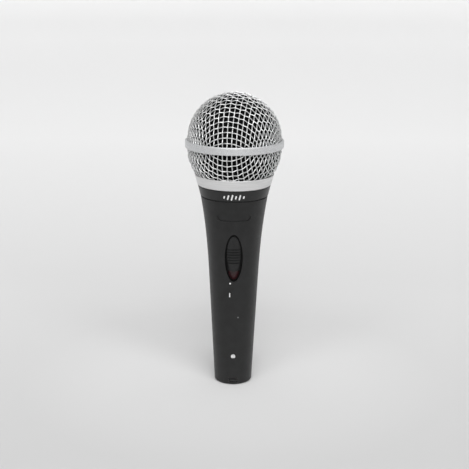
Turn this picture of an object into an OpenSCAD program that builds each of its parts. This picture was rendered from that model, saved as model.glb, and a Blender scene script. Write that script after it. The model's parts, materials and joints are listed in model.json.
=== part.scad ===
// Handheld dynamic microphone, standing upright on its connector end.
// Frame: +Z up along the handle, origin at the centre of the bottom rim, the switch on the -Y side.
// Lengths are in millimetres and angles in degrees.

/* [Overall] */
// Height from the bottom rim to the top of the ball grille
total_h = 164.4; // [162:0.1:168]

/* [Ball grille] */
// Outer radius of the domed mesh
dome_r = 25.8; // [25:0.1:26]
// Outer radius of the band round the ball
band_r = 26.9; // [26.5:0.1:28]
// Height of the band's upright face
band_face_h = 3; // [2.5:0.1:3.4]
// Thickness of the mesh
mesh_t = 0.62; // [0.5:0.01:0.8]
// Outer radius of the threaded collar at its bottom edge
collar_bottom_r = 20.3; // [20:0.1:20.5]
// Outer radius of the threaded collar at its top edge
collar_top_r = 21.75; // [21.6:0.05:22.2]
// Thickness of the foam lining
foam_t = 4.3; // [3:0.1:4.4]

/* [Handle] */
// Outer radius that the straight taper starts from
base_r = 10.4; // [10.4:0.1:11.2]
// Growth of the radius for each millimetre of height
taper = 0.0525; // [0.047:0.0005:0.054]
// Extra radius of the flare at the shoulder
flare = 2.4; // [2.2:0.1:2.6]
// Wall thickness round the cavity
wall_t = 2.1; // [1.8:0.1:2.4]
// Radius of the rounding at the bottom rim
rim_round = 1.4; // [0.6:0.1:1.5]

/* [Connector] */
// Radius of the connector socket
socket_r = 8.15; // [8.1:0.01:8.2]
// Depth of the socket down to the insulator
socket_depth = 13.9; // [13:0.1:14.5]
// Radius of each contact pin
pin_r = 1.2; // [1.15:0.01:1.25]
// Distance of the pins from the socket's axis
pin_circle_r = 4; // [3.9:0.05:4.1]

/* [Switch] */
// Width of the oval opening
opening_w = 9.8; // [9.4:0.1:10.2]
// Height of the oval opening
opening_h = 27.4; // [27:0.1:27.8]
// Travel of the switch from on to off
switch_travel = 4.4; // [3.6:0.1:4.4]
// Number of grooves across the thumb pad
groove_count = 6; // [4:1:7]

/* [Hidden] */

$fn = 96;
gap = 0.03;      // clearance of a fixed fit
over = 1;        // how far a cutting shape runs past what it cuts
front_y0 = -20;  // limits in y of the shapes that cut or bound the front wall
front_y1 = -8;

// Heights of the handle
shoulder_z = 107.6;
flare_z = 62;
flare_power = 2.4;
profile_step = 1.5;

// Neck that the label ring, gasket and collar sit round
neck_plain_r = 17.35;
neck_thread_r = 17.3;
neck_root_r = 16.8;
neck_bore_r = 15.7;
neck_top_z = 118.5;
thread_z = 114.2;
thread_pitch = 1;
thread_count = 4;
shelf_z = 102;
shelf_r = 13.4;
seat_z = 103.5;

// Label ring, gasket and collar
groove_h = 0.6;
groove_r = 17.9;
ring_bottom_r = 18.7;
ring_top_r = 19.95;
ring_top_z = 113.7;
gasket_z = 113.1;
gasket_r = 18.9;
collar_z = 114;
collar_top_z = 119.8;
collar_bore_r = 17.45;
collar_shelf_z = 118.35;

// Ball grille
ball_z = total_h - dome_r;
band_z = ball_z - 2;
band_edge_h = 0.55;
band_low_chamfer = 0.25;
web_half_h = 0.6;
web_r = 25;
mesh_bulge_z = band_z - 2.7;
mesh_drop = 4.4;
mesh_drop_h = mesh_bulge_z - collar_top_z;
mesh_power = 2.35;
mesh_fit = 0.06;
foam_gap = 0.25;
foam_bottom_z = 120.4;
foam_bore_r = 16.6;
arc_step = 3;

// Connector
insert_h = 10;
insert_top_z = socket_depth + insert_h;
ledge_r = 6.6;
ledge_h = 2;
pin_tip_z = 2.4;
pin_nose = 0.8;
pin_root_r = 1.5;
cup_top_z = 28.5;
key_w = 4.7;
key_depth = 0.9;
latch_z0 = 1.6;
latch_z1 = 3.8;
lead_in = 0.4;
screw_z = 17.3;
screw_r = 1.2;
screw_hole_r = 1.45;
screw_slot_w = 0.55;
screw_slot_depth = 0.7;
screw_tip_y = -5.7;
cup_bore_r = 0.8;
cup_depth = 3.4;
cup_cut_h = 2.6;
pin_places = [[-pin_circle_r, -0.5], [pin_circle_r, -0.5], [0, pin_circle_r]];

// Blank panel on the front of the handle
badge_z = 98.6;
badge_half_w = 7;
badge_corner_r = 2;
badge_depth = 0.4;
badge_reach = 7;

// Switch, in a frame tilted to run along the handle's slope
switch_z = 76.5;
switch_tilt = atan((handle_r(switch_z + opening_h / 2) - handle_r(switch_z - opening_h / 2)) / opening_h);
bezel_face_r = 14.15;
bezel_lip = 0.75;
flange_top_r = 13.1;
flange_under_r = 12.75;
pocket_r = 13.15;
pocket_w = 11.8;
pocket_z0 = -16.9;
pocket_z1 = 18.8;
flange_slack = 0.2;
plate_w = 9.4;
plate_half_h = 19;
plate_top_r = 12.7;
plate_under_r = 12;
pad_face_r = 13.95;
pad_w = 7.5;
pad_h = 20.4;
pad_lift = switch_travel / 2;
groove_pitch = 1.55;
groove_w = 0.8;
groove_depth = 0.5;
groove_drop = 1.3;
key_post_w = 4.6;
key_post_half_h = 2.6;
indicator_face_r = 11.95;
indicator_w = 8.6;
indicator_z0 = -15.8;
indicator_z1 = -6.2;
bracket_y = -9.9;
bracket_t = 0.8;
bracket_w = 11;
bracket_half_h = 22.4;
bracket_slot_w = 3.4;
boss_z = 20.5;
boss_r = 2.4;
boss_low_y = -13.8;
boss_high_y = -14.4;
boss_hole_depth = 3.2;
bracket_screw_r = 0.98;
bracket_hole_r = 1.1;
head_r = 1.8;
head_h = 1.2;
ring_hole_r = 1.05;
tag_r = 2.1;
tag_t = 0.4;
tag_tail_w = 1.6;
tag_tail = 4.6;
housing_w = 7.2;
housing_h = 13.2;
housing_d = 5.45;
housing_t = 0.4;
actuator_w = 2.8;
actuator_half_h = 1.45;
actuator_foot_y = -7.9;
contact_y0 = -7;
contact_y1 = -6.3;
contact_reach = 2.7;
lug_pitch = 4;
lug_x = 1.7;
lug_y = -0.35;
lug_t = 0.4;
lug_half_h = 0.5;
lug_slack = 0.05;
switch_base_t = 1;

// Cartridge
stem_r = 11.95;
stem_bore_r = 10.8;
stem_z = 101;
flange_z = 120;
flange_r = 16;
bell_r = 15.9;
bell_bore_r = 14.7;
bell_z = 121.5;
floor_top_z = 123;
bell_top_z = 138;
yoke_r = 11.6;
yoke_bore_r = 9.7;
yoke_z = 124.3;
yoke_top_z = 135.3;
ledge_top_z = 136.8;
cap_z = 140;
cap_top_z = 141.5;
coil_r = 9.3;
former_r = 8.7;
former_bore_r = 8.55;
coil_z = 132.6;
dome_edge_r = 9.4;
dome_z = 137;
dome_rise = 1.9;
film_t = 0.2;
terminal_x = 4;
terminal_w = 1.6;
terminal_t = 0.4;
terminal_z0 = 95.5;
terminal_z1 = 102.4;
plate_t = 1.5;
mount_flange_r = 17.2;
floor_bore_r = 6;
ledge_bore_r = 13.6;
holder_r = 12.6;
holder_top_z = 133;
port_w = 5;
port_z0 = 123.8;
port_z1 = 127.4;
port_count = 8;
port_screen_r = 14.3;
port_screen_z = 128.4;
cup_floor_t = 1.5;
magnet_r = 8;
magnet_h = 7.2;
pole_r = 8.1;
coil_h = 3.6;
clamp_r = 14.6;
clamp_bore_r = 13.7;
roll_r0 = 9.5;
roll_r1 = 13.5;
roll_height = 0.3;
roll_pitch = 2;
screen_r = 14.5;
screen_z = 139.5;
screen_t = 0.45;
cap_hole_r = 1.2;
cap_chamfer = 0.6;
cap_ring_pitch = 4.6;
merge = 0.5;      // how far joined shapes of one piece run into each other

// Leads
lead_r = 0.55;
lead_sides = 8;
lead_steps = 3;

// Routes of the leads, from the cartridge to the switch and from the switch to the pins
hot_upper_route = [
    [4, 0, 95.4], [4, 0.2, 92], [4.2, 2.4, 88], [3.6, 4, 84], [2.4, 3, 81.4],
    [1.8, 0.8, 80.5], [1.7, -0.6, 80.5]
];
cold_upper_route = [
    [-4, 0, 95.4], [-4, 0.2, 92], [-4.2, 2.4, 88], [-3.6, 4, 84], [-2.4, 3, 81.4],
    [-1.8, 0.8, 80.5], [-1.7, -0.6, 80.5]
];
hot_lower_route = [
    [1.7, -0.3, 76.5], [1.8, 1.2, 76.4], [2.6, 3.2, 73], [3.2, 4.4, 68], [3, 4.6, 58],
    [3.4, 3.6, 48], [4, 1.4, 40], [4, -0.3, 34], [4, -0.5, 28.55]
];
cold_lower_route = [
    [-1.7, -0.3, 76.5], [-1.8, 1.2, 76.4], [-2.4, 3.4, 73], [-2.8, 5, 68],
    [-2.4, 5.8, 58], [-1.4, 5.6, 48], [-0.4, 4.8, 40], [0, 4.1, 34], [0, 4, 28.55]
];
ground_route = [
    [-4, -0.5, 28.55], [-4, -0.6, 33], [-3.8, -1.6, 39], [-2.4, -3.6, 44],
    [-0.8, -4.9, 47.6], [0, -5.9, 50.9], [0, -6.05, 51.9]
];

// ---- Shared shapes and formulas ----

// Outer radius of the handle at a height
function handle_r(z) = base_r + taper * z
    + flare * pow(max(0, z - flare_z) / (shoulder_z - flare_z), flare_power);

// Outer radius of the lower mesh at a height
function lower_mesh_r(z) = dome_r
    - mesh_drop * pow(max(0, mesh_bulge_z - z) / mesh_drop_h, mesh_power);

// Points round an ellipse of a given width and height
function ellipse(w, h, n = 60) =
    [for (i = [0 : n - 1]) [w / 2 * cos(360 * i / n), h / 2 * sin(360 * i / n)]];

module tube(r_out, r_in, z0, z1) {
    translate([0, 0, z0]) difference() {
        cylinder(r = r_out, h = z1 - z0);
        translate([0, 0, -over]) cylinder(r = r_in, h = z1 - z0 + 2 * over);
    }
}

// A box given by its centre in x and its limits in y and z
module slab(w, y0, y1, z0, z1, x = 0) {
    translate([x - w / 2, y0, z0]) cube([w, y1 - y0, z1 - z0]);
}

// The frame of the switch: its z runs up the handle's slope
module switch_frame() {
    translate([0, 0, switch_z]) rotate([switch_tilt, 0, 0]) children();
}

// A prism that runs out through the front wall, of an outline drawn in x and z
module front_prism(points, y0, y1) {
    translate([0, y1, 0]) rotate([90, 0, 0]) linear_extrude(y1 - y0) polygon(points);
}

// The front part of a cylindrical shell between two radii, in the switch's frame
module front_shell(r_out, r_in, h) {
    intersection() {
        translate([0, 0, -h]) difference() {
            cylinder(r = r_out, h = 2 * h);
            translate([0, 0, -over]) cylinder(r = r_in, h = 2 * h + 2 * over);
        }
        slab(2 * r_out, -r_out - over, -r_out / 2, -h, h);
    }
}

// ---- Handle ----

module handle_solid() {
    rounding = [for (a = [0 : 15 : 90]) [
        handle_r(rim_round) - rim_round * (1 - sin(a)), rim_round * (1 - cos(a))]];
    side = [for (z = [rim_round + profile_step : profile_step : shoulder_z - 1]) [handle_r(z), z]];
    thread = [for (i = [0 : thread_count - 1]) each [
        [neck_root_r, thread_z + i * thread_pitch],
        [neck_thread_r, thread_z + (i + 0.35) * thread_pitch],
        [neck_thread_r, thread_z + (i + 0.55) * thread_pitch],
        [neck_root_r, thread_z + (i + 0.9) * thread_pitch]]];
    rotate_extrude() polygon(concat(
        [[0, 0]], rounding, side,
        [[handle_r(shoulder_z) - 0.05, shoulder_z - 0.2], [handle_r(shoulder_z) - 0.3, shoulder_z],
         [neck_plain_r, shoulder_z], [neck_plain_r, thread_z - 0.6], [neck_root_r, thread_z - 0.3]],
        thread,
        [[neck_root_r, neck_top_z], [0, neck_top_z]]));
}

module handle_cavity() {
    first_z = insert_top_z + ledge_h;
    side = [for (z = [first_z : profile_step * 4 : shelf_z - 1]) [handle_r(z) - wall_t, z]];
    rotate_extrude() polygon(concat(
        [[0, -over], [socket_r + lead_in, -over], [socket_r + lead_in, 0], [socket_r, lead_in],
         [socket_r, insert_top_z], [ledge_r, insert_top_z], [ledge_r, first_z]],
        side,
        [[handle_r(shelf_z) - wall_t, shelf_z], [shelf_r, shelf_z], [shelf_r, seat_z],
         [neck_bore_r, seat_z], [neck_bore_r, neck_top_z + over], [0, neck_top_z + over]]));
}

// Key channel up the inside of the socket, and the latch window through the rim
module socket_cuts() {
    slab(key_w, -socket_r - key_depth, 0, -over, socket_depth);
    slab(key_w, -handle_r(latch_z1) - over, 0, latch_z0, latch_z1);
}

module switch_cuts() {
    front_prism(ellipse(opening_w, opening_h), front_y0, front_y1);
    intersection() {
        translate([0, 0, -opening_h]) cylinder(r = pocket_r, h = 2 * opening_h);
        slab(pocket_w, front_y0, front_y1, pocket_z0, pocket_z1);
    }
}

module switch_bosses() {
    for (side = [-1, 1]) {
        end_y = side > 0 ? boss_high_y : boss_low_y;
        translate([0, bracket_y, side * boss_z]) rotate([90, 0, 0])
            cylinder(r = boss_r, h = bracket_y - end_y);
    }
}

module boss_holes() {
    for (side = [-1, 1])
        translate([0, bracket_y + over, side * boss_z]) rotate([90, 0, 0])
            cylinder(r = bracket_screw_r + gap, h = boss_hole_depth + over);
}

// A shallow blank panel on the front, above the switch
module badge_recess() {
    outline = [for (side = [1, -1], a = [-90 : 15 : 90])
        [side * (badge_half_w + badge_corner_r * cos(a)), badge_z + side * badge_corner_r * sin(a)]];
    zs = [for (i = [-2 : 2]) badge_z + badge_reach * i / 2];
    outside_r = handle_r(shoulder_z) + 2 * over;
    intersection() {
        front_prism(outline, -outside_r, front_y1);
        rotate_extrude() polygon(concat(
            [for (z = zs) [handle_r(z) - badge_depth, z]],
            [[outside_r, zs[4]], [outside_r, zs[0]]]));
    }
}

module handle_shell() color("#2a2b2c") difference() {
    union() {
        difference() {
            handle_solid();
            handle_cavity();
        }
        switch_frame() switch_bosses();
    }
    socket_cuts();
    switch_frame() switch_cuts();
    switch_frame() boss_holes();
    badge_recess();
    translate([0, screw_tip_y + over, screw_z]) rotate([90, 0, 0])
        cylinder(r = screw_hole_r, h = base_r);
}

module label_ring() color("#242526") rotate_extrude() polygon([
    [neck_plain_r + gap, shoulder_z], [groove_r, shoulder_z], [groove_r, shoulder_z + groove_h],
    [ring_bottom_r - 0.15, shoulder_z + groove_h], [ring_bottom_r, shoulder_z + groove_h + 0.15],
    [ring_top_r, ring_top_z - 0.15], [ring_top_r - 0.15, ring_top_z], [gasket_r + gap, ring_top_z],
    [gasket_r + gap, gasket_z], [neck_plain_r + gap, gasket_z]]);

// ---- Ball grille ----

module grille_gasket() color("#151515") tube(gasket_r, collar_bore_r, gasket_z, collar_z);

module grille_collar() color("#b9bbbd") difference() {
    rotate_extrude() polygon([
        [collar_bore_r, collar_z], [collar_bottom_r - 0.3, collar_z], [collar_bottom_r, collar_z + 0.3],
        [collar_top_r, collar_top_z - 0.15], [collar_top_r - 0.1, collar_top_z],
        [collar_bore_r, collar_top_z]]);
    rotate_extrude() polygon(concat(
        [[collar_bore_r - 1, collar_shelf_z]],
        [for (i = [0 : 3]) let (z = collar_shelf_z + i * 0.5) [lower_mesh_r(z) + mesh_fit, z]],
        [[lower_mesh_r(collar_top_z + 0.1) + mesh_fit, collar_top_z + over],
         [collar_bore_r - 1, collar_top_z + over]]));
}

module grille_lower_mesh() color("#a9abad") {
    z0 = collar_shelf_z + 0.05;
    z1 = band_z - web_half_h;
    steps = 9;
    zs = [for (i = [0 : steps]) z0 + (z1 - z0) * i / steps];
    rotate_extrude() polygon(concat(
        [for (z = zs) [lower_mesh_r(z), z]],
        [for (i = [steps : -1 : 0]) [lower_mesh_r(zs[i]) - mesh_t, zs[i]]]));
}

module grille_band() color("#b9bbbd") translate([0, 0, band_z]) {
    face = band_face_h / 2;
    edge = face + band_edge_h;
    sleeve_r = dome_r + mesh_fit;
    rotate_extrude() polygon([
        [web_r, -web_half_h], [sleeve_r, -web_half_h], [sleeve_r, -edge],
        [band_r - band_low_chamfer, -edge], [band_r, band_low_chamfer - edge],
        [band_r, face], [band_r - band_edge_h, edge], [sleeve_r, edge],
        [sleeve_r, web_half_h], [web_r, web_half_h]]);
}

// Points of a quarter circle from the side of the ball to its top
function quarter(r) = [for (a = [0 : arc_step : 90]) [r * cos(a), ball_z + r * sin(a)]];

// The same points from the top down
function quarter_back(r) = [for (a = [90 : -arc_step : 0]) [r * cos(a), ball_z + r * sin(a)]];

module grille_dome_mesh() color("#a9abad") {
    skirt_z = band_z + web_half_h;
    inner_r = dome_r - mesh_t;
    rotate_extrude() polygon(concat(
        [[dome_r, skirt_z]], quarter(dome_r), quarter_back(inner_r), [[inner_r, skirt_z]]));
}

module foam_liner() color("#1d1d1e") {
    steps = 6;
    slack = mesh_t + foam_gap;
    outer_r = dome_r - slack;
    rise = (mesh_bulge_z - foam_bottom_z) / (steps - 1);
    zs = [for (i = [0 : steps - 1]) foam_bottom_z + rise * i];
    rotate_extrude() polygon(concat(
        [for (z = zs) [lower_mesh_r(z) - slack, z]],
        quarter(outer_r),
        quarter_back(outer_r - foam_t),
        [for (i = [steps - 1 : -1 : 0])
            [max(foam_bore_r, lower_mesh_r(zs[i]) - slack - foam_t), zs[i]]]));
}

// ---- Cartridge ----

module shock_mount() color("#171717") {
    tube(neck_bore_r - gap, stem_r + gap, seat_z, neck_top_z);
    tube(mount_flange_r, stem_r + gap, neck_top_z, flange_z);
}

module cartridge_body() color("#303133") difference() {
    union() {
        tube(stem_r, stem_bore_r, stem_z, bell_z);
        tube(flange_r, floor_bore_r, flange_z, bell_z);
        tube(bell_r, floor_bore_r, bell_z, floor_top_z);
        tube(bell_r, bell_bore_r, floor_top_z - merge, bell_top_z);
        tube(bell_bore_r + merge, ledge_bore_r, ledge_top_z - 1, ledge_top_z);
        tube(holder_r, yoke_r + gap, floor_top_z - merge, holder_top_z);
        tube(yoke_r + merge, coil_r, floor_top_z - merge, yoke_z);
    }
    for (i = [0 : port_count - 1])
        rotate([0, 0, (i + 0.5) * 360 / port_count])
            slab(port_w, -bell_r - over, -bell_bore_r + over, port_z0, port_z1);
}

module rear_port_screen() color("#8d8f92")
    tube(bell_bore_r - gap, port_screen_r, floor_top_z, port_screen_z);

module terminal_plate() color("#5b3a22") difference() {
    hole_half_t = terminal_t / 2 + gap;
    translate([0, 0, stem_z - plate_t]) cylinder(r = stem_r, h = plate_t);
    for (side = [-1, 1])
        slab(terminal_w + 2 * gap, -hole_half_t, hole_half_t,
            terminal_z0, terminal_z1, side * terminal_x);
}

module cartridge_terminals() color("#c9a659")
    for (side = [-1, 1])
        slab(terminal_w, -terminal_t / 2, terminal_t / 2, terminal_z0, terminal_z1, side * terminal_x);

module magnet_cup() color("#8b8e92") {
    tube(yoke_r, yoke_bore_r, yoke_z + cup_floor_t, yoke_top_z);
    translate([0, 0, yoke_z]) cylinder(r = yoke_r, h = cup_floor_t);
}

module magnet() color("#b7babd") translate([0, 0, yoke_z + cup_floor_t])
    cylinder(r = magnet_r, h = magnet_h);

module pole_piece() color("#9a9da1") {
    pole_z = yoke_z + cup_floor_t + magnet_h;
    translate([0, 0, pole_z]) cylinder(r = pole_r, h = yoke_top_z - pole_z);
}

// Thin film ring with rolled corrugations, clamped at its outer edge
module diaphragm_surround() color("#c8b98a") {
    mid_z = ledge_top_z + film_t / 2;
    roll = [for (r = [roll_r0 : 0.25 : roll_r1])
        [r, mid_z + roll_height * sin(360 * (r - roll_r0) / roll_pitch)]];
    rotate_extrude() polygon(concat(
        [for (p = roll) [p[0], p[1] - film_t / 2]],
        [[clamp_r, mid_z - film_t / 2], [clamp_r, mid_z + film_t / 2]],
        [for (i = [len(roll) - 1 : -1 : 0]) [roll[i][0], roll[i][1] + film_t / 2]]));
}

module diaphragm_clamp() color("#3a3b3d") tube(clamp_r, clamp_bore_r, ledge_top_z + film_t, bell_top_z);

module diaphragm() color("#d8cba0") {
    steps = 8;
    top = [for (i = [0 : steps]) let (part = i / steps)
        [dome_edge_r * part, dome_z + dome_rise * (1 - part * part)]];
    union() {
        rotate_extrude() polygon(concat(
            [for (p = top) [p[0], p[1] - film_t]],
            [for (i = [steps : -1 : 0]) top[i]]));
        tube(former_r, former_bore_r, coil_z, dome_z + film_t / 2);
    }
}

module voice_coil() color("#b06a3a") tube(coil_r, former_r, coil_z, coil_z + coil_h);

module front_screen() color("#6d6f72") translate([0, 0, screen_z]) cylinder(r = screen_r, h = screen_t);

module resonator_cap() color("#35373a") difference() {
    union() {
        tube(bell_r, bell_bore_r, bell_top_z, cap_z + merge);
        rotate_extrude() polygon([[0, cap_z], [bell_r, cap_z], [bell_r, cap_top_z - cap_chamfer],
            [bell_r - cap_chamfer, cap_top_z], [0, cap_top_z]]);
    }
    for (ring = [0 : 2], i = [0 : max(1, ring * 6) - 1])
        rotate([0, 0, i * 360 / max(1, ring * 6)])
            translate([ring * cap_ring_pitch, 0, cap_z - over])
                cylinder(r = cap_hole_r, h = cap_top_z - cap_z + 2 * over);
}

// ---- Switch ----

module switch_bezel() color("#0e0e0f") switch_frame() difference() {
    union() {
        intersection() {
            front_prism(ellipse(opening_w - 2 * gap, opening_h - 2 * gap), front_y0, front_y1);
            front_shell(bezel_face_r, flange_under_r, plate_half_h);
        }
        intersection() {
            front_shell(flange_top_r, flange_under_r, plate_half_h);
            slab(pocket_w - 2 * flange_slack, front_y0, front_y1,
                pocket_z0 + flange_slack, pocket_z1 - flange_slack);
        }
    }
    front_prism(ellipse(opening_w - 2 * bezel_lip, opening_h - 2 * bezel_lip), front_y0, front_y1);
}

module switch_slider() color("#303234") switch_frame() difference() {
    top_z = opening_h / 2 + pad_lift + switch_travel / 2 + flange_slack;
    union() {
        intersection() {
            front_shell(plate_top_r, plate_under_r, plate_half_h);
            slab(plate_w, front_y0, front_y1, pad_lift - pad_h / 2, top_z);
        }
        intersection() {
            translate([0, 0, pad_lift]) front_prism(ellipse(pad_w, pad_h), front_y0, front_y1);
            front_shell(pad_face_r, plate_under_r, plate_half_h);
        }
        slab(key_post_w, -plate_under_r - merge, bracket_y - 0.1,
            pad_lift - key_post_half_h, pad_lift + key_post_half_h);
    }
    slab(actuator_w + 0.1, -plate_under_r + 0.4, front_y1,
        pad_lift - actuator_half_h - 0.1, pad_lift + actuator_half_h + 0.1);
    for (i = [0 : groove_count - 1])
        translate([0, 0, pad_lift - groove_drop + (i - (groove_count - 1) / 2) * groove_pitch])
            front_groove();
}

// A shallow groove across the thumb pad
module front_groove() {
    difference() {
        slab(pad_w + over, front_y0, front_y1, -groove_w / 2, groove_w / 2);
        translate([0, 0, -over]) cylinder(r = pad_face_r - groove_depth, h = 2 * over);
    }
}

module switch_indicator() color("#8e1418") switch_frame() intersection() {
    slab(indicator_w, front_y0, bracket_y, indicator_z0, indicator_z1);
    translate([0, 0, -opening_h]) cylinder(r = indicator_face_r, h = 2 * opening_h);
}

module switch_bracket() color("#8f9296") switch_frame() difference() {
    slot_half_h = pad_lift + actuator_half_h + 0.25;
    slab(bracket_w, bracket_y, bracket_y + bracket_t, -bracket_half_h, bracket_half_h);
    slab(bracket_slot_w, bracket_y - over, bracket_y + bracket_t + over, -slot_half_h, slot_half_h);
    for (side = [-1, 1])
        translate([0, bracket_y + 2 * over, side * boss_z]) rotate([90, 0, 0])
            cylinder(r = bracket_hole_r, h = 3 * over);
}

module bracket_screws() color("#a9acb0") switch_frame() {
    head_y = bracket_y + bracket_t + tag_t;
    for (side = [-1, 1]) translate([0, 0, side * boss_z]) difference() {
        union() {
            translate([0, head_y, 0]) rotate([90, 0, 0])
                cylinder(r = bracket_screw_r, h = boss_hole_depth + over);
            translate([0, head_y + head_h, 0]) rotate([90, 0, 0]) cylinder(r = head_r, h = head_h);
        }
        slab(screw_slot_w, head_y + head_h / 2, head_y + head_h + over,
            -head_r - over, head_r + over);
    }
}

module bracket_washer() color("#a9acb0") switch_frame()
    translate([0, bracket_y + bracket_t + tag_t, boss_z]) rotate([90, 0, 0]) difference() {
        cylinder(r = tag_r, h = tag_t);
        translate([0, 0, -over]) cylinder(r = ring_hole_r, h = tag_t + 2 * over);
    }

module ground_tag() color("#c9a659") switch_frame() difference() {
    y0 = bracket_y + bracket_t;
    union() {
        translate([0, y0 + tag_t, -boss_z]) rotate([90, 0, 0]) cylinder(r = tag_r, h = tag_t);
        slab(tag_tail_w, y0, y0 + tag_t, -boss_z - tag_tail, -boss_z - ring_hole_r);
    }
    translate([0, y0 + 2 * over, -boss_z]) rotate([90, 0, 0]) cylinder(r = ring_hole_r, h = 3 * over);
}

module switch_housing() color("#9fa2a6") switch_frame() {
    y0 = bracket_y + bracket_t;
    difference() {
        slab(housing_w, y0, y0 + housing_d, -housing_h / 2, housing_h / 2);
        slab(housing_w - 2 * housing_t, y0 + housing_t, y0 + housing_d + over,
            -housing_h / 2 + housing_t, housing_h / 2 - housing_t);
        slab(bracket_slot_w - 0.2, y0 - over, y0 + over,
            -pad_lift - actuator_half_h - 0.15, pad_lift + actuator_half_h + 0.15);
    }
}

module switch_actuator() color("#e4e2da") switch_frame() {
    slab(actuator_w, -plate_under_r + 0.5, actuator_foot_y,
        pad_lift - actuator_half_h, pad_lift + actuator_half_h);
    slab(housing_w - 1.2, actuator_foot_y, contact_y0,
        pad_lift - contact_reach, pad_lift + contact_reach);
}

module switch_contact() color("#c9a659") switch_frame()
    for (side = [-1, 1])
        slab(1, contact_y0, contact_y1, pad_lift - contact_reach, pad_lift + contact_reach, side * lug_x);

module switch_base() color("#5b3a22") switch_frame() difference() {
    y1 = bracket_y + bracket_t + housing_d;
    slab(housing_w - 2 * housing_t - 2 * gap, y1 - switch_base_t, y1,
        -housing_h / 2 + housing_t + gap, housing_h / 2 - housing_t - gap);
    for (side = [-1, 1], i = [-1 : 1])
        slab(lug_t + 2 * lug_slack, y1 - switch_base_t - over, y1 + over,
            i * lug_pitch - lug_half_h - lug_slack, i * lug_pitch + lug_half_h + lug_slack, side * lug_x);
}

module switch_terminals() color("#c9a659") switch_frame()
    for (side = [-1, 1], i = [-1 : 1])
        slab(lug_t, contact_y1 + lug_slack, lug_y - lead_r - lug_slack,
            i * lug_pitch - lug_half_h, i * lug_pitch + lug_half_h, side * lug_x);

// ---- Connector ----

module connector_insert() color("#1b1c1d") difference() {
    translate([0, 0, socket_depth]) cylinder(r = socket_r - gap, h = insert_h);
    for (p = pin_places) translate([p[0], p[1], 0]) cylinder(r = pin_root_r + gap, h = 40);
    translate([0, screw_tip_y + gap, screw_z]) rotate([90, 0, 0]) cylinder(r = screw_r + gap, h = base_r);
}

module contact_pin(place) {
    translate([place[0], place[1], 0]) rotate([0, 0, 180]) difference() {
        union() {
            translate([0, 0, pin_tip_z]) cylinder(r1 = pin_r - pin_nose / 2, r2 = pin_r, h = pin_nose);
            translate([0, 0, pin_tip_z + pin_nose])
                cylinder(r = pin_r, h = socket_depth - pin_tip_z - pin_nose);
            translate([0, 0, socket_depth]) cylinder(r = pin_root_r, h = insert_h - merge);
            translate([0, 0, insert_top_z - merge])
                cylinder(r = pin_r, h = cup_top_z - insert_top_z + merge);
        }
        translate([0, 0, cup_top_z - cup_depth]) cylinder(r = cup_bore_r, h = cup_depth + over);
        slab(2 * pin_root_r, 0, 2 * pin_root_r, cup_top_z - cup_cut_h, cup_top_z + over);
    }
}

module contact_pin_1() color("#c7cacd") contact_pin(pin_places[0]);
module contact_pin_2() color("#c7cacd") contact_pin(pin_places[1]);
module contact_pin_3() color("#c7cacd") contact_pin(pin_places[2]);

module connector_screw() color("#cfd1d3") translate([0, 0, screw_z]) difference() {
    face_y = -handle_r(screw_z) + 0.15;
    translate([0, screw_tip_y, 0]) rotate([90, 0, 0]) cylinder(r = screw_r, h = screw_tip_y - face_y);
    slab(screw_slot_w, face_y - over, face_y + screw_slot_depth, -screw_r - over, screw_r + over);
}

// ---- Leads: smooth tubes swept along their routes ----

// A point on the smooth curve through four neighbouring points, at t from 0 to 1
function on_curve(a, b, c, d, t) = 0.5 * (2 * b + (c - a) * t
    + (2 * a - 5 * b + 4 * c - d) * t * t + (3 * b - a - 3 * c + d) * t * t * t);

function smooth_route(p) = concat(
    [for (i = [0 : len(p) - 2], s = [0 : lead_steps - 1])
        on_curve(p[max(i - 1, 0)], p[i], p[i + 1], p[min(i + 2, len(p) - 1)], s / lead_steps)],
    [p[len(p) - 1]]);

function unit(v) = v / norm(v);

module lead(route) {
    p = smooth_route(route);
    n = len(p);
    rings = [for (i = [0 : n - 1])
        let (t = unit(p[min(i + 1, n - 1)] - p[max(i - 1, 0)]),
             u = unit(cross(t, [1, 0, 0])),
             v = cross(t, u))
        [for (k = [0 : lead_sides - 1])
            p[i] + lead_r * (cos(360 * k / lead_sides) * u + sin(360 * k / lead_sides) * v)]];
    walls = [for (i = [0 : n - 2], k = [0 : lead_sides - 1])
        let (a = i * lead_sides + k, b = i * lead_sides + (k + 1) % lead_sides)
        each [[a, b, b + lead_sides], [a, b + lead_sides, a + lead_sides]]];
    first = [for (k = [lead_sides - 1 : -1 : 0]) k];
    last = [for (k = [0 : lead_sides - 1]) (n - 1) * lead_sides + k];
    polyhedron([for (ring = rings) each ring], concat(walls, [first], [last]));
}

module lead_hot_upper() color("#b3262a") lead(hot_upper_route);
module lead_cold_upper() color("#1c1c1d") lead(cold_upper_route);
module lead_hot_lower() color("#b3262a") lead(hot_lower_route);
module lead_cold_lower() color("#1c1c1d") lead(cold_lower_route);
module lead_ground() color("#2f7d3a") lead(ground_route);

// ---- One line for each node ----

handle_shell();
label_ring();
grille_gasket();
grille_collar();
grille_lower_mesh();
grille_band();
grille_dome_mesh();
foam_liner();
shock_mount();
cartridge_body();
rear_port_screen();
terminal_plate();
cartridge_terminals();
magnet_cup();
magnet();
pole_piece();
diaphragm_surround();
diaphragm_clamp();
diaphragm();
voice_coil();
front_screen();
resonator_cap();
switch_bezel();
switch_slider();
switch_indicator();
switch_bracket();
bracket_screws();
bracket_washer();
ground_tag();
switch_housing();
switch_actuator();
switch_contact();
switch_base();
switch_terminals();
connector_insert();
contact_pin_1();
contact_pin_2();
contact_pin_3();
connector_screw();
lead_hot_upper();
lead_cold_upper();
lead_hot_lower();
lead_cold_lower();
lead_ground();
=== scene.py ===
import json
import math

import bmesh
import bpy
import numpy as np
from mathutils import Matrix, Vector, noise


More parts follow.
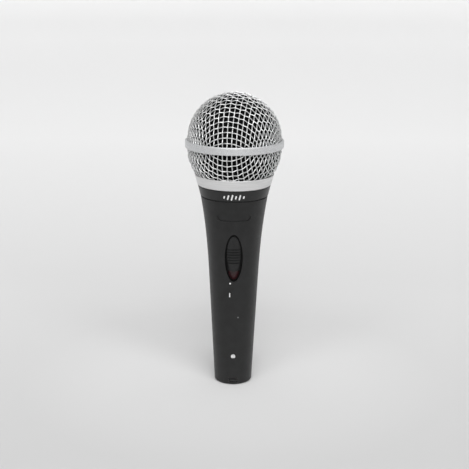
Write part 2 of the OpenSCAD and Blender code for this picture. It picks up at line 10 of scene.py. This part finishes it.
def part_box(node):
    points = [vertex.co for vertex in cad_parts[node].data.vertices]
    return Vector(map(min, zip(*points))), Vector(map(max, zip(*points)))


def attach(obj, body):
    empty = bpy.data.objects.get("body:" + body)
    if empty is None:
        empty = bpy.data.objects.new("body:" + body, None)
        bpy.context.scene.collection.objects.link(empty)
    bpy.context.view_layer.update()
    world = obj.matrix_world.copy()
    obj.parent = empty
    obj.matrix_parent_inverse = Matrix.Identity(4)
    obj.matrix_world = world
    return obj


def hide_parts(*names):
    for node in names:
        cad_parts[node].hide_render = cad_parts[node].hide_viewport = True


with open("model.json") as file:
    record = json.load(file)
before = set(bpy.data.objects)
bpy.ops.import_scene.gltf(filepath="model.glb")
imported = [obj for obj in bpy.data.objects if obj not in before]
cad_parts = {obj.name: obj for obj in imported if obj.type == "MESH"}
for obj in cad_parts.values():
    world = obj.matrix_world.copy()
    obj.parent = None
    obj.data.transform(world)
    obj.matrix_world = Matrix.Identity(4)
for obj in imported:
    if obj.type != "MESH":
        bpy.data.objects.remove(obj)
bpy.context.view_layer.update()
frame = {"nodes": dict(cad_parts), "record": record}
nodes = frame["nodes"]
scene = bpy.context.scene

MM = 0.001


# ---- Camera, light and floor ----

CAMERA_DISTANCE = 0.6367
CAMERA_HEIGHT = 0.2556
CAMERA_PITCH = math.radians(15.0)
CAMERA_ROLL = math.radians(0.41)
CAMERA_YAW = math.radians(-0.028)
CAMERA_LENS = 91.3

WORLD_STRENGTH = 0.2
SUN_ANGLE = math.radians(48)

# The floor's flat part, and the quarter circle that its rim rises by
FLOOR_REACH = 2.4
RIM_BEND = 1.2
RIM_STEPS = 12
FLOOR_SIDES = 72
FLOOR_RINGS = (0.4, 1.4)


def make_camera():
    data = bpy.data.cameras.new("camera")
    data.lens = CAMERA_LENS
    data.clip_start = 0.01
    camera = bpy.data.objects.new("camera", data)
    scene.collection.objects.link(camera)
    camera.matrix_world = (
        Matrix.Translation((0, -CAMERA_DISTANCE, CAMERA_HEIGHT))
        @ Matrix.Rotation(CAMERA_YAW, 4, "Z")
        @ Matrix.Rotation(math.pi / 2 - CAMERA_PITCH, 4, "X")
        @ Matrix.Rotation(CAMERA_ROLL, 4, "Z")
    )
    scene.camera = camera


def add_light(name, kind, place, target, energy, **settings):
    data = bpy.data.lights.new(name, kind)
    data.energy = energy
    for key, value in settings.items():
        setattr(data, key, value)
    light = bpy.data.objects.new(name, data)
    light.location = place
    light.rotation_euler = (Vector(target) - Vector(place)).to_track_quat("-Z", "Y").to_euler()
    scene.collection.objects.link(light)


def make_light():
    """Two wide soft lights from the front, one overhead, and an even pale surrounding."""
    world = bpy.data.worlds.new("world")
    world.use_nodes = True
    background = world.node_tree.nodes["Background"].inputs
    background["Color"].default_value = (1.0, 1.0, 1.0, 1)
    background["Strength"].default_value = WORLD_STRENGTH
    scene.world = world
    add_light("light_right", "SUN", (0.36, -1.1, 1.05), (0, 0, 0), 1.64, angle=SUN_ANGLE)
    add_light("light_left", "SUN", (-0.33, -1.1, 1.05), (0, 0, 0), 1.24, angle=SUN_ANGLE)
    add_light("light_top", "AREA", (0, 0.1, 1.5), (0, 0, 0.08), 3.6, size=0.9)


def make_floor():
    """A wide pale floor that curves up into a low rim all round, far from the object."""
    profile = [(r, 0.0) for r in FLOOR_RINGS]
    profile += [(FLOOR_REACH + RIM_BEND * math.sin(a), RIM_BEND * (1 - math.cos(a)))
                for a in np.linspace(0, math.pi / 2, RIM_STEPS)]
    bm = bmesh.new()
    rings = [[bm.verts.new((r * math.cos(a), r * math.sin(a), z))
              for a in 2 * np.pi * np.arange(FLOOR_SIDES) / FLOOR_SIDES] for r, z in profile]
    bm.faces.new(rings[0])
    for inner, outer in zip(rings, rings[1:]):
        for k in range(FLOOR_SIDES):
            after = (k + 1) % FLOOR_SIDES
            bm.faces.new((inner[k], outer[k], outer[after], inner[after]))
    mesh = bpy.data.meshes.new("backdrop")
    bm.to_mesh(mesh)
    bm.free()
    mesh.shade_smooth()
    floor = bpy.data.objects.new("backdrop", mesh)
    scene.collection.objects.link(floor)
    floor.data.materials.append(MATERIALS["backdrop"])


# ---- Materials ----

class Shader:
    """A node material whose colour, roughness and bump all come from procedural textures."""

    def __init__(self, name):
        self.name = name
        self.material = bpy.data.materials.new(name)
        self.material.use_nodes = True
        self.tree = self.material.node_tree
        self.bsdf = self.tree.nodes["Principled BSDF"]
        self.place = self.tree.nodes.new("ShaderNodeTexCoord").outputs["Object"]
        self.height = None

    def node(self, kind, **inputs):
        node = self.tree.nodes.new("ShaderNode" + kind)
        for key, value in inputs.items():
            socket = node.inputs[key.replace("_", " ")]
            if isinstance(value, bpy.types.NodeSocket):
                self.tree.links.new(value, socket)
            else:
                socket.default_value = value
        return node

    def stretched(self, scale):
        return self.node("Mapping", Vector=self.place, Scale=scale).outputs["Vector"]

    def noise(self, scale, detail=3.0, stretch=None):
        vector = self.stretched(stretch) if stretch else self.place
        return self.node("TexNoise", Vector=vector, Scale=scale, Detail=detail).outputs["Fac"]

    def cells(self, scale):
        return self.node("TexVoronoi", Vector=self.place, Scale=scale).outputs["Distance"]

    def ramp(self, value, low, high, span=(0.3, 0.7)):
        node = self.node("MapRange", Value=value, From_Min=span[0], From_Max=span[1],
                         To_Min=low, To_Max=high)
        return node.outputs["Result"]

    def colour(self, value, dark, light, span=(0.3, 0.7)):
        node = self.tree.nodes.new("ShaderNodeMix")
        node.data_type = "RGBA"
        self.tree.links.new(self.ramp(value, 0, 1, span), node.inputs["Factor"])
        node.inputs["A"].default_value = (*dark, 1)
        node.inputs["B"].default_value = (*light, 1)
        return node.outputs["Result"]

    def distance(self, vector):
        node = self.node("VectorMath", Vector=vector)
        node.operation = "LENGTH"
        return node.outputs["Value"]

    def total(self, first, *others):
        for value in others:
            node = self.node("Math", Value=first)
            self.tree.links.new(value, node.inputs[1])
            first = node.outputs["Value"]
        return first

    def paint(self, colour, roughness=None):
        self.tree.links.new(colour, self.bsdf.inputs["Base Color"])
        if roughness is not None:
            self.tree.links.new(roughness, self.bsdf.inputs["Roughness"])

    def bump(self, value, depth, strength=1.0):
        """Adds a bump of that depth in metres on top of those already there."""
        extra = {"Normal": self.height} if self.height else {}
        node = self.node("Bump", Height=value, Distance=depth, Strength=strength, **extra)
        self.height = node.outputs["Normal"]
        self.tree.links.new(self.height, self.bsdf.inputs["Normal"])

    def set(self, **values):
        for key, value in values.items():
            self.bsdf.inputs[key.replace("_", " ")].default_value = value


def grey(value, tint=(1, 1, 1)):
    return tuple(value * t for t in tint)


def plain_moulding(name, dark, light, roughness, grain=5000, depth=2e-6, specular=0.5):
    """Moulded plastic or rubber: faint mottling and a fine grain."""
    s = Shader(name)
    s.paint(s.colour(s.noise(260), dark, light), s.ramp(s.noise(1500), roughness[0], roughness[1]))
    s.bump(s.noise(grain), depth, 0.6)
    s.set(Specular_IOR_Level=specular)
    return s


def handle_enamel():
    s = Shader("handle_enamel")
    s.paint(s.colour(s.noise(180), grey(0.010), grey(0.015, (1, 1.01, 1.02))),
            s.ramp(s.noise(900), 0.36, 0.48))
    s.bump(s.noise(2600, 2.0), 6e-6, 0.5)
    s.bump(s.noise(9000, 2.0), 2e-6, 0.5)
    s.set(Specular_IOR_Level=0.36)
    return s


def label_enamel():
    s = Shader("label_enamel")
    s.paint(s.colour(s.noise(220), grey(0.011), grey(0.016)), s.ramp(s.noise(1200), 0.30, 0.38))
    s.bump(s.noise(4200, 2.0), 2e-6, 0.4)
    s.set(Specular_IOR_Level=0.42)
    return s


def silver_paint():
    """Fine metallic paint: bright flakes in a grey coat."""
    s = Shader("silver_paint")
    s.paint(s.colour(s.noise(5200, 2.0), grey(0.50), grey(0.86, (0.98, 1.0, 1.02)), (0.35, 0.65)),
            s.ramp(s.noise(3600, 2.0), 0.36, 0.54))
    s.bump(s.noise(4200, 2.0), 1.0e-5, 0.5)
    s.set(Metallic=0.5)
    return s


def turned_silver():
    """The collar: painted over lines left by turning."""
    s = Shader("turned_silver")
    s.paint(s.colour(s.noise(1.0, 3.0, (60, 60, 2600)), grey(0.68), grey(0.80), (0.35, 0.65)),
            s.ramp(s.noise(3600, 2.0), 0.36, 0.50))
    s.bump(s.noise(1.0, 2.0, (40, 40, 3800)), 6e-6, 0.5)
    s.bump(s.noise(5000, 2.0), 4e-6, 0.4)
    s.set(Metallic=0.55)
    return s


def steel_wire():
    s = Shader("steel_wire")
    s.paint(s.colour(s.noise(700), grey(0.80), grey(0.93, (0.99, 1.0, 1.0))),
            s.ramp(s.noise(2400), 0.26, 0.38))
    s.bump(s.noise(6000, 2.0), 4e-6, 0.5)
    s.set(Metallic=0.75)
    return s


def foam():
    s = Shader("foam")
    s.paint(s.colour(s.cells(1400), grey(0.006), grey(0.0015), (0.1, 0.6)),
            s.ramp(s.noise(900), 0.9, 1.0))
    s.bump(s.cells(1400), 3e-4, 1.0)
    s.set(Specular_IOR_Level=0.1)
    return s


def metal(name, dark, light, roughness, scratches=(60, 60, 60), depth=3e-6, metallic=1.0):
    s = Shader(name)
    s.paint(s.colour(s.noise(400), dark, light), s.ramp(s.noise(1800), roughness[0], roughness[1]))
    s.bump(s.noise(50.0, 3.0, scratches), depth, 0.5)
    s.set(Metallic=metallic)
    return s


def backdrop():
    """Pale paper with painted light and shade: paler behind the object, with a painted pool of light
    just round it, and greyer to the front and sides from painted shade.
    """
    s = Shader("backdrop")
    back = s.node("SeparateXYZ", Vector=s.place).outputs["Y"]
    # Painted light and shade in the paper's colour: painted falloff (darker to the front, paler behind,
    # darker far behind), a painted pool of light round the object in place of its contact shadow, and
    # painted shade outside an ellipse in front of it.
    painted_light_area = s.node("Mapping", Vector=s.place, Location=(0, -0.84, 0), Scale=(0.9, 0.53, 0))
    paper_and_painted_light = s.total(s.ramp(back, 0.68, 0.79, (-0.1, 0.15)),
                   s.ramp(back, 0.0, 0.18, (0.2, 0.75)),
                   s.ramp(back, 0.0, -0.09, (1.9, 2.6)),
                   s.ramp(s.distance(s.place), 0.10, 0.0, (0.03, 0.12)),
                   s.ramp(s.distance(painted_light_area.outputs["Vector"]), 0.0, -0.25, (1.0, 2.2)))
    s.paint(s.colour(paper_and_painted_light, grey(0.15), grey(0.93), (0.0, 1.0)), s.ramp(s.noise(30), 0.8, 0.95))
    s.bump(s.noise(400), 2e-5, 0.2)
    s.set(Specular_IOR_Level=0.2)
    return s


def print_paint(name, dark, light):
    s = Shader(name)
    s.paint(s.colour(s.noise(1500), grey(dark), grey(light)), s.ramp(s.noise(2000), 0.45, 0.6))
    s.bump(s.noise(7000), 2e-6, 0.4)
    return s


SHADERS = [
    handle_enamel(), label_enamel(), silver_paint(), turned_silver(), steel_wire(), foam(), backdrop(),
    print_paint("printed_white", 0.74, 0.86), print_paint("printed_grey", 0.10, 0.14),
    plain_moulding("black_rubber", grey(0.010), grey(0.018), (0.75, 0.9), 3000, 8e-6),
    plain_moulding("black_plastic", grey(0.014), grey(0.022), (0.38, 0.5)),
    # gloss_black is near-black and barely reflecting. On the switch bezel this colour is painted shade,
    # standing in for the dark gap round the slider.
    plain_moulding("gloss_black", grey(0.0015), grey(0.003), (0.5, 0.6), specular=0.12),
    plain_moulding("slider_plastic", grey(0.009), grey(0.013, (1, 1.03, 1.06)), (0.40, 0.50), 6000, 4e-6,
                   specular=0.36),
    plain_moulding("red_plastic", (0.026, 0.006, 0.008), (0.042, 0.009, 0.012), (0.28, 0.38)),
    plain_moulding("white_plastic", (0.66, 0.65, 0.60), (0.74, 0.73, 0.69), (0.4, 0.55)),
    plain_moulding("phenolic", (0.09, 0.04, 0.02), (0.15, 0.07, 0.035), (0.4, 0.55), 2000, 6e-6),
    plain_moulding("film", (0.56, 0.48, 0.30), (0.64, 0.57, 0.38), (0.15, 0.25)),
    plain_moulding("red_sleeve", (0.34, 0.012, 0.018), (0.44, 0.02, 0.026), (0.35, 0.5)),
    plain_moulding("black_sleeve", grey(0.012), grey(0.02), (0.35, 0.5)),
    plain_moulding("green_sleeve", (0.02, 0.16, 0.045), (0.03, 0.22, 0.06), (0.35, 0.5)),
    plain_moulding("screen_cloth", grey(0.06), grey(0.13), (0.8, 0.95), 9000, 3e-5),
    metal("nickel_pin", grey(0.66), grey(0.76), (0.14, 0.24)),
    metal("screw_steel", grey(0.80), grey(0.92), (0.30, 0.42), metallic=0.6),
    metal("magnet_steel", grey(0.36), grey(0.48), (0.30, 0.42)),
    metal("brass_tag", (0.56, 0.40, 0.18), (0.70, 0.54, 0.28), (0.25, 0.4)),
    metal("copper_wire", (0.44, 0.17, 0.07), (0.58, 0.25, 0.11), (0.3, 0.4), (1, 1, 60)),
]
MATERIALS = {s.name: s.material for s in SHADERS}


# ---- Mesh helpers ----

def new_object(name, mesh, body, material):
    """Links a finished mesh, gives it its material, and lets it ride on a body."""
    obj = bpy.data.objects.new(name, mesh)
    scene.collection.objects.link(obj)
    obj.data.materials.append(MATERIALS[material])
    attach(obj, body)
    return obj


def mesh_from(name, points, faces, smooth=True):
    mesh = bpy.data.meshes.new(name)
    mesh.from_pydata([tuple(p) for p in points], [], [tuple(f) for f in faces])
    mesh.validate()
    if smooth:
        mesh.shade_smooth()
    return mesh


def outer_profile(node):
    """Heights and outer radii of a turned CAD node that widens upwards, from the bottom up.

    Levels where the node has corners only on its inside are left out.
    """
    co = np.array([v.co for v in nodes[node].data.vertices])
    radius = np.hypot(co[:, 0], co[:, 1])
    heights = np.unique(np.round(co[:, 2], 6))
    radii = np.array([radius[np.abs(co[:, 2] - z) < 2e-6].max() for z in heights])
    outside = radii > np.maximum.accumulate(radii) - 1e-6
    return heights[outside], radii[outside]


# ---- Woven wire ----

WIRE = 0.54 * MM
LIFT = 0.62 * WIRE
SIDES = 8
SUBSTEPS = 6
HIDDEN_EDGE = math.radians(0.8)
NET_FLOOR = -0.3
SPARE_CELLS = 4
SHORTEST_RUN = 4
DOME_LEVELS = 46
DOME_PITCH = 2.95 * MM
DOME_SPREAD = 0.45
LOWER_PITCH = 3.15 * MM
LOWER_SPREAD = 0.55
CLOTH_TURN = math.radians(-9)


def cloth_net(step, half_count, spread):
    """Crossing points of a square cloth pressed over a unit ball, starting from its pole at +Z.

    A cloth that can't stretch is a net whose cells keep equal sides: the two threads through
    the pole follow great circles, and every other crossing is the fourth corner of its cell.
    Spread, from 0 to 1, blends that net towards one pulled evenly outwards from the pole.
    """
    n = half_count
    net = np.full((2 * n + 1, 2 * n + 1, 3), np.nan)
    for k in range(n + 1):
        for side in (-1, 1):
            net[n + side * k, n] = (side * math.sin(k * step), 0, math.cos(k * step))
            net[n, n + side * k] = (0, side * math.sin(k * step), math.cos(k * step))
    for su in (-1, 1):
        for sv in (-1, 1):
            for i in range(n):
                for j in range(n):
                    a = net[n + su * i, n + sv * j]
                    b = net[n + su * (i + 1), n + sv * j]
                    c = net[n + su * i, n + sv * (j + 1)]
                    middle = b + c
                    middle /= np.linalg.norm(middle)
                    if np.isfinite(middle).all() and a[2] > NET_FLOOR:
                        net[n + su * (i + 1), n + sv * (j + 1)] = 2 * (a @ middle) * middle - a
    u, v = np.meshgrid(*[step * np.arange(-n, n + 1)] * 2, indexing="ij")
    reach = np.maximum(np.hypot(u, v), 1e-9)
    pulled = np.stack([np.sin(reach) * u / reach, np.sin(reach) * v / reach, np.cos(reach)], -1)
    net = (1 - spread) * net + spread * pulled
    return net / np.linalg.norm(net, axis=2)[:, :, None]


def smooth_line(line):
    """Points on a smooth curve through a row of points, and each one's place counted in cells."""
    place = np.arange((len(line) - 1) * SUBSTEPS + 1) / SUBSTEPS
    cell = np.minimum(place.astype(int), len(line) - 2)
    t = (place - cell)[:, None]
    padded = np.vstack([line[:1], line, line[-1:]])
    p0, p1, p2, p3 = (padded[cell + k] for k in range(4))
    curve = 0.5 * (2 * p1 + (p2 - p0) * t + (2 * p0 - 5 * p1 + 4 * p2 - p3) * t ** 2
                   + (3 * p1 - p0 - 3 * p2 + p3) * t ** 3)
    return curve / np.linalg.norm(curve, axis=1)[:, None], place


def thread_runs(net, low, high):
    """Every stretch of thread whose latitude on the unit ball lies between two angles."""
    for family in (0, 1):
        for i, line in enumerate(net if family == 0 else net.transpose(1, 0, 2)):
            known = np.flatnonzero(np.isfinite(line).all(axis=1))
            if len(known) < SHORTEST_RUN:
                continue
            directions, place = smooth_line(line[known[0]:known[-1] + 1])
            lift = np.cos(math.pi * (place + known[0] + i + family))
            inside = (directions[:, 2] >= math.sin(low)) & (directions[:, 2] <= math.sin(high))
            edges = np.flatnonzero(np.diff(np.concatenate([[0], inside, [0]])))
            for first, last in edges.reshape(-1, 2):
                if last - first > SUBSTEPS:
                    yield directions[first:last], lift[first:last]


def add_tube(points, normals, vertices, faces):
    """Adds a closed round wire along the points, with normals out of the surface it lies on."""
    along = np.gradient(points, axis=0)
    along /= np.linalg.norm(along, axis=1)[:, None]
    side = np.cross(along, normals)
    side /= np.linalg.norm(side, axis=1)[:, None]
    up = np.cross(side, along)
    angles = 2 * np.pi * np.arange(SIDES) / SIDES
    rings = points[:, None] + WIRE / 2 * (np.cos(angles)[None, :, None] * side[:, None]
                                          + np.sin(angles)[None, :, None] * up[:, None])
    start = sum(len(v) for v in vertices)
    vertices.append(rings.reshape(-1, 3))
    ring = start + SIDES * np.arange(len(points) - 1)[:, None]
    k = np.arange(SIDES)[None, :]
    after = (k + 1) % SIDES
    quads = np.stack([ring + k, ring + SIDES + k, ring + SIDES + after, ring + after], -1)
    faces.extend(quads.reshape(-1, 4))
    last = start + SIDES * (len(points) - 1)
    faces.append(range(start, start + SIDES))
    faces.append(range(last + SIDES - 1, last - 1, -1))


def woven_wire(node, pitch, spread, turn, profile, equator):
    """A woven mesh in place of a turned node, pressed over a profile of radii and heights.

    The profile runs from the edge under the band to the far end. Its length from the point
    numbered equator, over the ball's radius, is the latitude on the unit ball.
    """
    radii, heights = np.array(profile).T
    length = np.concatenate([[0], np.cumsum(np.hypot(np.diff(radii), np.diff(heights)))])
    latitudes = (length - length[equator]) / radii[equator]
    out_r, out_z = np.gradient(heights), -np.gradient(radii)
    if heights[-1] < heights[0]:
        out_r, out_z = -out_r, -out_z

    def surface(directions, height):
        latitude = np.arcsin(np.clip(directions[:, 2], -1, 1))
        r, z, dr, dz = (np.interp(latitude, latitudes, values)
                        for values in (radii, heights, out_r, out_z))
        r = r + height * dr / np.hypot(dr, dz)
        z = z + height * dz / np.hypot(dr, dz)
        around = np.arctan2(directions[:, 1], directions[:, 0])
        return np.stack([r * np.cos(around), r * np.sin(around), z], -1)

    step = pitch / radii[equator]
    net = cloth_net(step, int(math.pi / 2 / step) + SPARE_CELLS, spread)
    spin = np.array(Matrix.Rotation(turn, 3, "Z"))
    vertices, faces = [], []
    for directions, lift in thread_runs(net, latitudes[0] + HIDDEN_EDGE, latitudes[-1]):
        directions = directions @ spin.T
        height = lift * LIFT - LIFT - WIRE / 2
        points = surface(directions, height)
        add_tube(points, surface(directions, height + MM) - points, vertices, faces)
    name = node.replace("grille_", "").replace("_mesh", "_wires")
    mesh = mesh_from(name, np.vstack(vertices), faces)
    wires = new_object(name, mesh, "grille", "steel_wire")
    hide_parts(node)


def make_wires():
    low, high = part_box("grille_dome_mesh")
    ball_z = high.z - high.x
    arc = [(high.x * math.cos(a), ball_z + high.x * math.sin(a))
           for a in np.linspace(0, math.pi / 2, DOME_LEVELS)]
    dome = [(high.x, low.z)] + arc
    woven_wire("grille_dome_mesh", DOME_PITCH, DOME_SPREAD, CLOTH_TURN, dome, 1)
    heights, radii = outer_profile("grille_lower_mesh")
    below = list(zip(radii, heights))[::-1]
    woven_wire("grille_lower_mesh", LOWER_PITCH, LOWER_SPREAD, CLOTH_TURN, below, 1)


# ---- Foam lining ----

FOAM_CLEARANCE = 0.6 * MM
FOAM_THICKNESS = 3.4 * MM
FOAM_BORE = 16.9 * MM
FOAM_ROUGHNESS = 0.24 * MM
FOAM_GRAIN = 900
FOAM_SEGMENTS = 96
FOAM_INNER_LEVELS = 16
FOAM_OUTER_LEVELS = 26


def make_foam():
    """An open-cell lining, a little slack inside the wires."""
    heights, radii = outer_profile("foam_liner")
    dome_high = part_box("grille_dome_mesh")[1]
    ball_z = dome_high.z - dome_high.x
    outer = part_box("foam_liner")[1].z - ball_z - FOAM_CLEARANCE
    inner = outer - FOAM_THICKNESS
    below = [k for k in range(len(heights)) if heights[k] < ball_z - 1e-5]
    profile = [(inner * math.cos(a), ball_z + inner * math.sin(a))
               for a in np.linspace(math.pi / 2, 0, FOAM_INNER_LEVELS)]
    profile += [(max(FOAM_BORE, radii[k] - FOAM_CLEARANCE - FOAM_THICKNESS), heights[k])
                for k in reversed(below)]
    profile += [(radii[k] - FOAM_CLEARANCE, heights[k]) for k in below]
    profile += [(outer * math.cos(a), ball_z + outer * math.sin(a))
                for a in np.linspace(0, math.pi / 2, FOAM_OUTER_LEVELS)]
    bm = bmesh.new()
    rings = []
    for r, z in profile:
        if r < 1e-6:
            rings.append([bm.verts.new((0, 0, z))])
        else:
            rings.append([bm.verts.new((r * math.cos(a), r * math.sin(a), z))
                          for a in 2 * np.pi * np.arange(FOAM_SEGMENTS) / FOAM_SEGMENTS])
    for a, b in zip(rings, rings[1:]):
        for k in range(FOAM_SEGMENTS):
            quad = [a[k % len(a)], a[(k + 1) % len(a)], b[(k + 1) % len(b)], b[k % len(b)]]
            bm.faces.new(list(dict.fromkeys(quad)))
    bmesh.ops.recalc_face_normals(bm, faces=bm.faces)
    bm.normal_update()
    for v in bm.verts:
        v.co += v.normal * FOAM_ROUGHNESS * noise.noise(v.co * FOAM_GRAIN)
    mesh = bpy.data.meshes.new("foam")
    bm.to_mesh(mesh)
    bm.free()
    mesh.shade_smooth()
    piece = new_object("foam", mesh, "foam", "foam")
    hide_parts("foam_liner")


# ---- Printed marks ----

PRINT_RISE = 0.03 * MM
PRINT_ROWS = 9


def printed_patch(name, node, outline, centre, turn=0.0, material="printed_white"):
    """A thin patch of paint on the front of a turned node.

    outline(u, v) gives a place in metres, across and up, for u and v from -1 to 1.
    """
    heights, radii = outer_profile(node)
    n = PRINT_ROWS
    points = []
    for depth in (PRINT_RISE, -PRINT_RISE):
        for v in np.linspace(-1, 1, n):
            for u in np.linspace(-1, 1, n):
                across, up = Matrix.Rotation(turn, 2) @ Vector(outline(u, v))
                x, z = centre[0] + across, centre[1] + up
                r = np.interp(z, heights, radii) + depth
                points.append((x, -math.sqrt(r * r - x * x), z))

    def at(i, j, side):
        return side * n * n + i * n + j

    faces = []
    for i in range(n - 1):
        for j in range(n - 1):
            quad = [(i, j), (i, j + 1), (i + 1, j + 1), (i + 1, j)]
            faces.append([at(*c, 0) for c in quad])
            faces.append([at(*c, 1) for c in reversed(quad)])
    rim = [(0, j) for j in range(n - 1)] + [(i, n - 1) for i in range(n - 1)]
    rim += [(n - 1, j) for j in range(n - 1, 0, -1)] + [(i, 0) for i in range(n - 1, 0, -1)]
    for c, d in zip(rim, rim[1:] + rim[:1]):
        faces.append([at(*d, 0), at(*c, 0), at(*c, 1), at(*d, 1)])
    mesh = mesh_from(name, points, faces, smooth=False)
    return new_object(name, mesh, "handle", material)


def disc(radius):
    def outline(u, v):
        return radius * u * math.sqrt(1 - v * v / 2), radius * v * math.sqrt(1 - u * u / 2)
    return outline


def stroke(width, height):
    """An upright bar with rounded ends."""
    def outline(u, v):
        cap = width / 2 * math.sqrt(max(0.0, 1 - u * u))
        return width / 2 * u, v * (height / 2 - width / 2 + cap)
    return outline


SWITCH_DOT_RADIUS = 0.48 * MM
SWITCH_DOT_PLACE = (-1.9 * MM, 60.7 * MM)
SWITCH_BAR_SIZE = (0.52 * MM, 2.5 * MM)
SWITCH_BAR_PLACE = (-2.1 * MM, 53.9 * MM)
LOW_DOT_RADIUS = 0.45 * MM
LOW_DOT_PLACE = (2.6 * MM, 40.7 * MM)
LEVEL_BARS = (0.45, 0.82, 1.0, 0.62, 0.92, 0.5)
LEVEL_WIDTH = 0.8 * MM
LEVEL_HEIGHT = 3.4 * MM
LEVEL_PITCH = 2.1 * MM
LEVEL_LEAN = math.radians(-14)
LEVEL_PLACE = (-0.1 * MM, 110.4 * MM)


def make_marks():
    """A dot and a bar for the switch's places, and a row of level bars in place of a name."""
    printed_patch("mark_dot", "handle_shell", disc(SWITCH_DOT_RADIUS), SWITCH_DOT_PLACE)
    printed_patch("mark_bar", "handle_shell", stroke(*SWITCH_BAR_SIZE), SWITCH_BAR_PLACE)
    printed_patch("mark_low", "handle_shell", disc(LOW_DOT_RADIUS), LOW_DOT_PLACE,
                  material="printed_grey")
    for i, level in enumerate(LEVEL_BARS):
        place = (LEVEL_PLACE[0] + (i - (len(LEVEL_BARS) - 1) / 2) * LEVEL_PITCH, LEVEL_PLACE[1])
        outline = stroke(LEVEL_WIDTH, LEVEL_HEIGHT * level)
        printed_patch(f"mark_level_{i + 1}", "label_ring", outline, place, LEVEL_LEAN)


# ---- Finishes of the CAD nodes ----

NODE_MATERIALS = {
    "handle_shell": "handle_enamel", "label_ring": "label_enamel", "grille_gasket": "black_rubber",
    "grille_collar": "turned_silver", "grille_band": "silver_paint", "grille_lower_mesh": "steel_wire",
    "grille_dome_mesh": "steel_wire", "foam_liner": "foam",
}


def finish_nodes():
    slots = {s["node"]: s["material_slot"] for s in frame["record"]["subparts"]}
    for name, obj in nodes.items():
        finish = NODE_MATERIALS.get(name, slots[name])
        obj.data.materials.clear()
        obj.data.materials.append(MATERIALS[finish])


scene.view_settings.view_transform = "Standard"
make_camera()
make_light()
make_floor()
finish_nodes()
make_wires()
make_foam()
make_marks()
